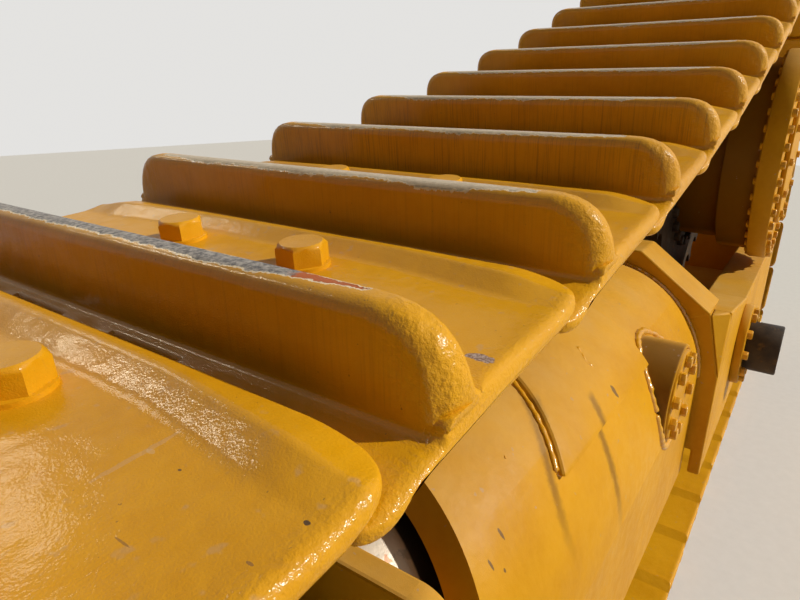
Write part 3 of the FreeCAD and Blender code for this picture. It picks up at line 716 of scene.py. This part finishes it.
def shoe_stations():
    half = SHOE_WIDTH / 2
    side = [0.0, NOTCH[0] - 0.001, NOTCH[0] + 0.002, 0.065, NOTCH[1] - 0.002, NOTCH[1] + 0.001,
            0.135, 0.170, 0.200]
    curve = [0.213, 0.225, 0.234, 0.242, 0.249, 0.255, 0.2595, 0.2630, 0.2655, 0.2670, 0.2678, 0.2680]
    rim = [half - EDGE_ROUND + EDGE_ROUND * math.sin(math.pi / 2 * step / 8) for step in range(9)]
    right = side + curve + rim
    return [-place for place in reversed(right[1:])] + right


def shoe_geometry():
    points = []
    stations = shoe_stations()
    for across in stations:
        for s, rise in shoe_section(across):
            # The grouser's end leans outward towards its far side and runs flush into the shoe's side
            place = abs(across)
            if rise > PLATE_TOP - 0.004 and s < GROUSER_BACK:
                share = smoothstep(0.205, 0.262, place) * smoothstep(0.028, 0.052, s)
                place = min(place + GROUSER_LEAN * share, SHOE_WIDTH / 2) if share else place
            points.append(Vector((s, math.copysign(place, across), rise)))
    return points, loft_faces(len(stations), len(points) // len(stations))


def chain_pieces(name, points, faces, slot="track_paint", groups=4, sharp=35):
    """Copies of one mesh on every link, joined in a few pieces."""
    points, faces = cleaned(points, faces)
    per_group = SHOE_TOTAL // groups
    for group in range(groups):
        everything, own, which, all_faces = [], [], [], []
        for index in range(group * per_group, (group + 1) * per_group):
            matrix = link_matrix(index)
            start = len(everything)
            everything += [matrix @ point for point in points]
            own += points
            which += [float(index)] * len(points)
            # A link's own axes are left-handed, so its faces are wound the other way
            all_faces += [tuple(start + corner for corner in reversed(face)) for face in faces]
        new_piece("%s_%d" % (name, group + 1), everything, all_faces, slot, sharp, own, which)


chain_pieces("shoes", *shoe_geometry())


# Bolts on the shoes

BOLT_FLATS = 0.036
BOLT_HEAD = 0.019
BOLT_ROWS = (0.090, 0.162)
BOLT_ACROSS = 0.0755


def bolt_geometry(centre, base, flats=BOLT_FLATS, rise=BOLT_HEAD, turn=0.0, count=24):
    """A hexagon head with a low washer and a chamfer, standing on base, made of rings of points."""
    half = flats / 2

    def washer(angle):
        return half / math.cos(math.pi / 6) * 1.02

    def hexagon(angle):
        local = (angle + math.pi / 6) % (math.pi / 3) - math.pi / 6
        return half / math.cos(local)

    def chamfer(angle):
        return min(hexagon(angle), half * 1.03) * 0.995

    profile = ((washer, -0.002), (washer, 0.0022), (hexagon, 0.0026), (hexagon, rise * 0.80),
               (chamfer, rise * 0.93), (lambda angle: half * 0.93, rise), (lambda angle: half * 0.50, rise))
    points = []
    for radius_of, height in profile:
        for step in range(count):
            angle = 2 * math.pi * step / count
            radius = radius_of(angle)
            points.append(Vector((centre[0] + radius * math.cos(angle + turn),
                                  centre[1] + radius * math.sin(angle + turn), base + height)))
    return points, loft_faces(len(profile), count)


def merged(parts):
    points, faces = [], []
    for some, some_faces in parts:
        start = len(points)
        points += some
        faces += [tuple(start + corner for corner in face) for face in some_faces]
    return points, faces


draw = random.Random(7)
bolts = merged([bolt_geometry((s, across), PLATE_TOP, turn=draw.uniform(0, 1))
                for s in BOLT_ROWS for across in (-BOLT_ACROSS, BOLT_ACROSS)])
chain_pieces("shoe_bolts", *bolts, groups=2, sharp=30)


# Links: near end inboard, far end outboard, with a bushing and the ends of a pin at the near eye

LINK_HALF = 0.0105
LINK_INNER, LINK_OUTER = 0.0695, 0.0905
BUSHING_RADIUS, BUSHING_HALF = 0.0335, 0.062
PIN_RADIUS, PIN_START, PIN_END = 0.024, 0.090, 0.1035


def link_outline():
    return rounded([
        (-0.052, -0.010, 0.030, 4), (-0.040, -0.060, 0.020, 3), (-0.020, -RAIL_DROP, 0.008, 2),
        (PITCH + 0.020, -RAIL_DROP, 0.008, 2), (PITCH + 0.040, -0.060, 0.020, 3),
        (PITCH + 0.052, -0.010, 0.030, 4), (PITCH + 0.030, 0.044, 0.020, 3),
        (PITCH - 0.026, 0.046, 0.006, 2), (PITCH - 0.034, PLATE_UNDER, 0.004, 1),
        (0.034, PLATE_UNDER, 0.004, 1), (0.026, 0.046, 0.006, 2), (-0.030, 0.044, 0.020, 3),
    ])


def link_geometry(side):
    """One link; its near end lies inboard and its far end outboard."""
    outline = link_outline()
    points = []
    stations = (-LINK_HALF, -LINK_HALF + 0.003, LINK_HALF - 0.003, LINK_HALF)
    for offset in stations:
        pull = 0.003 if abs(offset) > LINK_HALF - 0.001 else 0.0
        for s, rise in outline:
            share = smoothstep(0.070, 0.146, s)
            across = LINK_INNER + (LINK_OUTER - LINK_INNER) * share
            x = s + (pull if s < PITCH / 2 else -pull)
            z = rise + (pull if rise < 0 else -pull)
            points.append(Vector((x, side * (across + offset), z)))
    return points, loft_faces(len(stations), len(outline))


def disc_geometry(radius, start, end, count=24, bevel=0.003):
    """A round piece about a link's near pin, between start and end on Y."""
    points = []
    profile = ((radius - bevel, start), (radius, start + bevel), (radius, end - bevel), (radius - bevel, end))
    for size, across in profile:
        for step in range(count):
            angle = 2 * math.pi * step / count
            points.append(Vector((size * math.cos(angle), across, size * math.sin(angle))))
    return points, loft_faces(len(profile), count)


link_parts = [link_geometry(side) for side in (-1, 1)]
link_parts.append(disc_geometry(BUSHING_RADIUS, -BUSHING_HALF, BUSHING_HALF))
link_parts.append(disc_geometry(PIN_RADIUS, -PIN_END, -PIN_START))
link_parts.append(disc_geometry(PIN_RADIUS, PIN_START, PIN_END))
chain_pieces("links", *merged(link_parts), "dark_steel", groups=2)

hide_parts("track")


# Bolt heads on the frame and the final drive

def standing(centre, facing):
    """From a head's own axes (two across, then up) to a place with that outward direction."""
    up = Vector(facing).normalized()
    across = up.orthogonal().normalized()
    return Matrix.Translation(centre) @ Matrix((across, up.cross(across), up)).transposed().to_4x4()


def heads(name, places, facing, flats, rise, slot="track_paint"):
    """Hexagon heads at places, all standing the same way."""
    parts = []
    for place in places:
        matrix = standing(Vector(place), facing)
        points, faces = bolt_geometry((0, 0), 0, flats, rise, draw.uniform(0, 1), 12)
        parts.append(([matrix @ point for point in points], faces))
    points, faces = cleaned(*merged(parts))
    new_piece(name, points, faces, slot, sharp=30)


def ring_about_y(x, y, z, radius, count, turn):
    angles = (turn + 2 * math.pi * step / count for step in range(count))
    return [(x + radius * math.cos(angle), y, z + radius * math.sin(angle)) for angle in angles]


OUT, IN = (0, 1, 0), (0, -1, 0)
# Distances from the middle plane of the faces that heads stand on
DRUM_FLANGE, DRUM_FLANGE_BACK, DRUM_COVER = 0.295, 0.243, 0.309
SPROCKET_SIDE, CAP_SIDE, BAR_SIDE = 0.030, 0.194, 0.202
ROLLER_BOLT_ASIDE, ROLLER_BOLT_DROP = 0.034, 0.012
boss_low, boss_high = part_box("recess_cover")
BOSS_X, BOSS_Z = (boss_low.x + boss_high.x) / 2, (boss_low.z + boss_high.z) / 2
pin_low, pin_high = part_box("trunnion_flange")
pin_x, pin_z = (pin_low.x + pin_high.x) / 2, (pin_low.z + pin_high.z) / 2

# Bolt circles: name, x and z of the axis, y of the face, facing, radius, count, first angle,
# flats and rise of a head, slot
BOLT_CIRCLES = (
    ("hub_bolts_outer", DRIVE_X, DRIVE_Z, DRUM_FLANGE, OUT, 0.304, 40, 0.0, 0.022, 0.012, "track_paint"),
    ("hub_bolts_inner", DRIVE_X, DRIVE_Z, DRUM_FLANGE_BACK, IN, 0.306, 40, 0.0, 0.019, 0.007, "track_paint"),
    ("cover_bolts", DRIVE_X, DRIVE_Z, DRUM_COVER, OUT, 0.188, 12, 0.0, 0.020, 0.010, "track_paint"),
    ("segment_bolts_outer", DRIVE_X, DRIVE_Z, SPROCKET_SIDE, OUT, 0.300, 27, 0.1, 0.030, 0.016, "dark_steel"),
    ("segment_bolts_inner", DRIVE_X, DRIVE_Z, -SPROCKET_SIDE, IN, 0.300, 27, 0.1, 0.030, 0.016, "dark_steel"),
    ("boss_bolts", BOSS_X, BOSS_Z, boss_high.y, OUT, 0.072, 10, 0.2, 0.021, 0.011, "track_paint"),
    ("trunnion_bolts", pin_x, pin_z, pin_high.y, OUT, 0.092, 10, 0.0, 0.022, 0.013, "track_paint"),
    ("front_cap_bolts_outer", half_base, idler_z, CAP_SIDE, OUT, 0.078, 6, 0.5, 0.024, 0.012, "track_paint"),
    ("front_cap_bolts_inner", half_base, idler_z, -CAP_SIDE, IN, 0.078, 6, 0.5, 0.024, 0.012, "track_paint"),
    ("rear_cap_bolts_outer", -half_base, idler_z, CAP_SIDE, OUT, 0.078, 6, 0.5, 0.024, 0.012, "track_paint"),
    ("rear_cap_bolts_inner", -half_base, idler_z, -CAP_SIDE, IN, 0.078, 6, 0.5, 0.024, 0.012, "track_paint"),
)
for name, x, z, y, facing, radius, count, turn, flats, rise, slot in BOLT_CIRCLES:
    heads(name, ring_about_y(x, y, z, radius, count, turn), facing, flats, rise, slot)

roller_x = [(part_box("roller_%d" % step)[0].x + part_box("roller_%d" % step)[1].x) / 2 for step in range(1, 9)]
roller_z = (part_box("roller_1")[0].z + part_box("roller_1")[1].z) / 2
for name, side, facing in (("roller_bolts_outer", 1, OUT), ("roller_bolts_inner", -1, IN)):
    places = [(x + shift, side * BAR_SIDE, roller_z - ROLLER_BOLT_DROP)
              for x in roller_x for shift in (-ROLLER_BOLT_ASIDE, ROLLER_BOLT_ASIDE)]
    heads(name, places, facing, 0.024, 0.012)


# Welds

TUBE_RADIUS, TUBE_Z, PAD_LOW, PAD_END = 0.250, 0.640, 0.796, 0.955
PAD_SLANT, BOSS_WELD, COLLAR_X = math.radians(42), 0.101, 0.190
# The pad's weld starts at this turn about the tube's axis, in degrees, and ends in a run along these x
PAD_TOP, PAD_UNDER = 84, (PAD_END, 0.75, 0.552)
# A short bead by x and z, a drop of weld by x and turn, and the collar's joint by its first turn and step
RIDGE = ((0.704, 0.866), (0.722, 0.852), (0.718, 0.841))
DROP = ((1.016, 53.0), (1.020, 52.0))
JOINT_TOP, JOINT_STEP = 88, 3.8


def bead(path, radius=0.0060, step=0.0035, around=10):
    """A lumpy weld along a path of points."""
    rings, walked, before = [], 0.0, None
    for start, end in zip(path, path[1:]):
        gap = (end - start).length
        while walked < gap:
            rings.append((start.lerp(end, walked / gap), (end - start).normalized()))
            walked += step
        walked -= gap
    points = []
    size = radius
    for index, (centre, along) in enumerate(rings):
        size += draw.uniform(-0.10, 0.10) * radius + 0.35 * (radius - size)
        lump = size * (1 + 0.10 * math.sin(index * 1.15))
        if index in (0, len(rings) - 1):
            lump *= 0.3
        across = along.orthogonal().normalized() if before is None else (before - along * before.dot(along))
        across.normalize()
        before = across
        other = along.cross(across)
        for turn in range(around):
            angle = 2 * math.pi * turn / around
            points.append(centre + (across * math.cos(angle) + other * math.sin(angle)) * lump)
    return points, loft_faces(len(rings), around)


def on_tube(x, turn, above=0.0):
    reach = TUBE_RADIUS + above
    return Vector((x, reach * math.cos(turn), TUBE_Z + reach * math.sin(turn)))


def welds():
    low_turn = math.asin((PAD_LOW - TUBE_Z) / TUBE_RADIUS)
    top_turn = math.radians(PAD_TOP)
    turns = [top_turn + (low_turn - top_turn) * step / 24 for step in range(25)]
    front = [on_tube(PAD_END - (on_tube(0, turn).z - PAD_LOW) * math.tan(PAD_SLANT), turn, -0.0005)
             for turn in turns]
    under = [on_tube(x, low_turn, -0.001) for x in PAD_UNDER]
    ridge = [on_tube(x, math.asin((z - TUBE_Z) / (TUBE_RADIUS + 0.008)), 0.006) for x, z in RIDGE]
    drop = [on_tube(x, math.radians(turn)) for x, turn in DROP]
    around = []
    for step in range(73):
        angle = 2 * math.pi * step / 72
        x, z = BOSS_X + BOSS_WELD * math.cos(angle), BOSS_Z + BOSS_WELD * math.sin(angle)
        around.append(Vector((x, math.sqrt((TUBE_RADIUS - 0.002) ** 2 - (z - TUBE_Z) ** 2), z)))
    joint = [on_tube(COLLAR_X + 0.002, math.radians(JOINT_TOP - JOINT_STEP * step)) for step in range(24)]
    parts = [bead(front, 0.0048), bead(under, 0.0034), bead(around, 0.0072), bead(joint, 0.0055),
             bead(ridge, 0.0050), bead(drop, 0.0035)]
    points, faces = cleaned(*merged(parts))
    new_piece("welds", points, faces, "track_paint", sharp=80, which=[WELD_MARK] * len(points))


welds()


# The collar's thicker top and the slanted corners between its shoulders and the box

COLLAR_BACK, COLLAR_MORE, PROUD = 0.146, 0.082, 0.0006
SHOULDER_Y, SHOULDER_Z, COLLAR_FLAT, COLLAR_TOP, SIDE_Y, SIDE_Z = 0.253, 0.798, 0.090, 0.916, 0.290, 0.650


def prism(outline, start, end):
    """A closed outline (y, z) drawn out along X."""
    points = [Vector((x, y, z)) for x in (start, end) for y, z in outline]
    return points, loft_faces(2, len(outline))


def collar_pieces():
    shoulder, flat, top = SHOULDER_Y + PROUD, COLLAR_FLAT + PROUD / 2, COLLAR_TOP + PROUD
    crown = [(shoulder, SHOULDER_Z), (flat, top), (-flat, top), (-shoulder, SHOULDER_Z),
             (-shoulder + 0.060, SHOULDER_Z - 0.030), (-flat, top - 0.060), (flat, top - 0.060),
             (shoulder - 0.060, SHOULDER_Z - 0.030)]
    parts = [prism(crown, COLLAR_BACK - COLLAR_MORE, COLLAR_X + PROUD)]
    for side in (1, -1):
        corner = [Vector((x, side * y, z)) for x, y, z in (
            (COLLAR_BACK, SIDE_Y, SIDE_Z), (COLLAR_BACK, SHOULDER_Y, SHOULDER_Z),
            (COLLAR_BACK, SIDE_Y, SHOULDER_Z), (COLLAR_X, SIDE_Y, SIDE_Z),
            (COLLAR_X, SHOULDER_Y, SHOULDER_Z))]
        parts.append((corner, [(0, 1, 2), (0, 3, 4, 1), (0, 2, 3), (1, 4, 2), (2, 4, 3)]))
    points, faces = cleaned(*merged(parts))
    piece = new_piece("collar_crown", points, faces, "yellow_paint", sharp=20)
    bevel = piece.modifiers.new("bevel", "BEVEL")
    bevel.limit_method = "ANGLE"
    bevel.width = EDGE_BEVEL
    bevel.segments = 2


collar_pieces()


# Finish of the nodes that stay

record_slots = {row["node"]: row["material_slot"] for row in frame["record"]["subparts"]}


def soften(item):
    """Round the edges of a faceted solid: join its facets, then bevel what is still sharp."""
    weld = item.modifiers.new("weld", "WELD")
    weld.merge_threshold = MERGE_WITHIN
    flat = item.modifiers.new("flat", "DECIMATE")
    flat.decimate_type = "DISSOLVE"
    flat.angle_limit = math.radians(0.6)
    bevel = item.modifiers.new("bevel", "BEVEL")
    bevel.limit_method = "ANGLE"
    bevel.angle_limit = math.radians(28)
    bevel.width = EDGE_BEVEL
    bevel.segments = 2


for name, item in nodes.items():
    item.data.materials.clear()
    item.data.materials.append(materials[record_slots[name]])
    if name != "track":
        soften(item)


# Floor, light and camera

FLOOR_HALF = 14
FLOOR_TONES = ((0.62, 0.60, 0.56), (0.70, 0.68, 0.64))


def stage_floor():
    shader = Shader("floor")
    colour = shader.mix(shader.noise(30.0, 4.0, 0.6), *FLOOR_TONES)
    shader.finish(Base_Color=colour, Roughness=0.9)
    points = [(FLOOR_HALF * x, FLOOR_HALF * y, 0) for x, y in ((-1, -1), (1, -1), (1, 1), (-1, 1))]
    mesh = bpy.data.meshes.new("floor")
    mesh.from_pydata(points, [], [(0, 1, 2, 3)])
    mesh.materials.append(shader.material)
    floor = bpy.data.objects.new("floor", mesh)
    scene.collection.objects.link(floor)


SUN_FROM = Vector((-0.42, 0.70, 0.58))
SUN_STRENGTH = 4.0
SUN_COLOUR = (1.0, 0.97, 0.92)
SUN_SPREAD = math.radians(1.6)
SKY_STRENGTH, SKY_FRONT = 0.19, 0.6
WARM_SKY, COOL_SKY = (1.0, 0.86, 0.50), (0.96, 0.97, 1.0)
BACKGROUND, BACKGROUND_STRENGTH = (0.86, 0.85, 0.83, 1.0), 0.9
PANEL_COLOUR = (1.0, 0.88, 0.66)
# Panels seen only in reflections: name, place, aim, long direction, width, length, strength
PANELS = (
    ("strip", (1.822, -2.33, 3.03), (1.440, 0.120, 1.10), (0.205, 0.721, 0.661), 0.11, 1.05, 15.0),
    ("softbox", (0.86, -3.05, 3.25), (1.50, 0.19, 1.10), (-0.10, 0.55, 0.83), 0.60, 0.70, 11.0),
)


def lamps():
    lamp = bpy.data.lights.new("key", "SUN")
    lamp.energy = SUN_STRENGTH
    lamp.angle = SUN_SPREAD
    lamp.color = SUN_COLOUR
    item = bpy.data.objects.new("key", lamp)
    item.rotation_euler = SUN_FROM.to_track_quat("Z", "Y").to_euler()
    scene.collection.objects.link(item)
    for name, place, aim, long_way, width, length, strength in PANELS:
        panel = bpy.data.lights.new(name, "AREA")
        panel.shape = "ELLIPSE"
        panel.size, panel.size_y = width, length
        panel.energy = strength
        panel.color = PANEL_COLOUR
        item = bpy.data.objects.new(name, panel)
        away = (Vector(place) - Vector(aim)).normalized()
        across = Vector(long_way).cross(away).normalized()
        turn = Matrix((across, away.cross(across), away)).transposed().to_4x4()
        item.matrix_world = Matrix.Translation(place) @ turn
        item.visible_diffuse = False
        scene.collection.objects.link(item)


def studio():
    """Soft light for the object, and a plain pale background for the camera and for reflections."""
    world = bpy.data.worlds.new("studio")
    world.use_nodes = True
    sky = Nodes(world.node_tree)
    way = sky.split(sky.node("ShaderNodeTexCoord").outputs["Generated"])
    # Warm from the inboard side, cool from outboard, and dimmer from the front
    tint = sky.mix(sky.spread(way["Y"], -0.3, 0.4, smooth=False), WARM_SKY, COOL_SKY)
    level = sky.spread(way["X"], -0.1, 0.8, SKY_STRENGTH, SKY_STRENGTH * SKY_FRONT, smooth=False)
    soft = sky.tree.nodes["Background"]
    sky.set(soft.inputs["Color"], tint)
    sky.set(soft.inputs["Strength"], level)
    seen = sky.node("ShaderNodeBackground", Color=BACKGROUND, Strength=BACKGROUND_STRENGTH)
    ray = sky.node("ShaderNodeLightPath").outputs
    share = ray["Is Camera Ray"]
    for kind in ("Is Glossy Ray", "Is Transmission Ray"):
        share = sky.maths("MAXIMUM", share, ray[kind])
    join = sky.node("ShaderNodeMixShader", in0=share, in1=soft.outputs[0], in2=seen.outputs[0])
    sky.set(sky.tree.nodes["World Output"].inputs["Surface"], join.outputs[0])
    scene.world = world


CAMERA_PLACE = Vector((1.5834, 0.3921, 1.2350))
CAMERA_RIGHT = Vector((-0.57388, 0.81885, 0.01180))
CAMERA_DOWN = Vector((0.25507, 0.19242, -0.94758))
CAMERA_FORWARD = Vector((-0.77820, -0.54079, -0.31930))
CAMERA_LENS = 26.714


def camera():
    lens = bpy.data.cameras.new("camera")
    lens.lens = CAMERA_LENS
    lens.sensor_width = 36
    lens.clip_start = 0.01
    item = bpy.data.objects.new("camera", lens)
    turn = Matrix((CAMERA_RIGHT, -CAMERA_DOWN, -CAMERA_FORWARD)).transposed().to_4x4()
    item.matrix_world = Matrix.Translation(CAMERA_PLACE) @ turn
    scene.collection.objects.link(item)
    scene.camera = item


stage_floor()
lamps()
studio()
camera()
scene.view_settings.view_transform = "Standard"
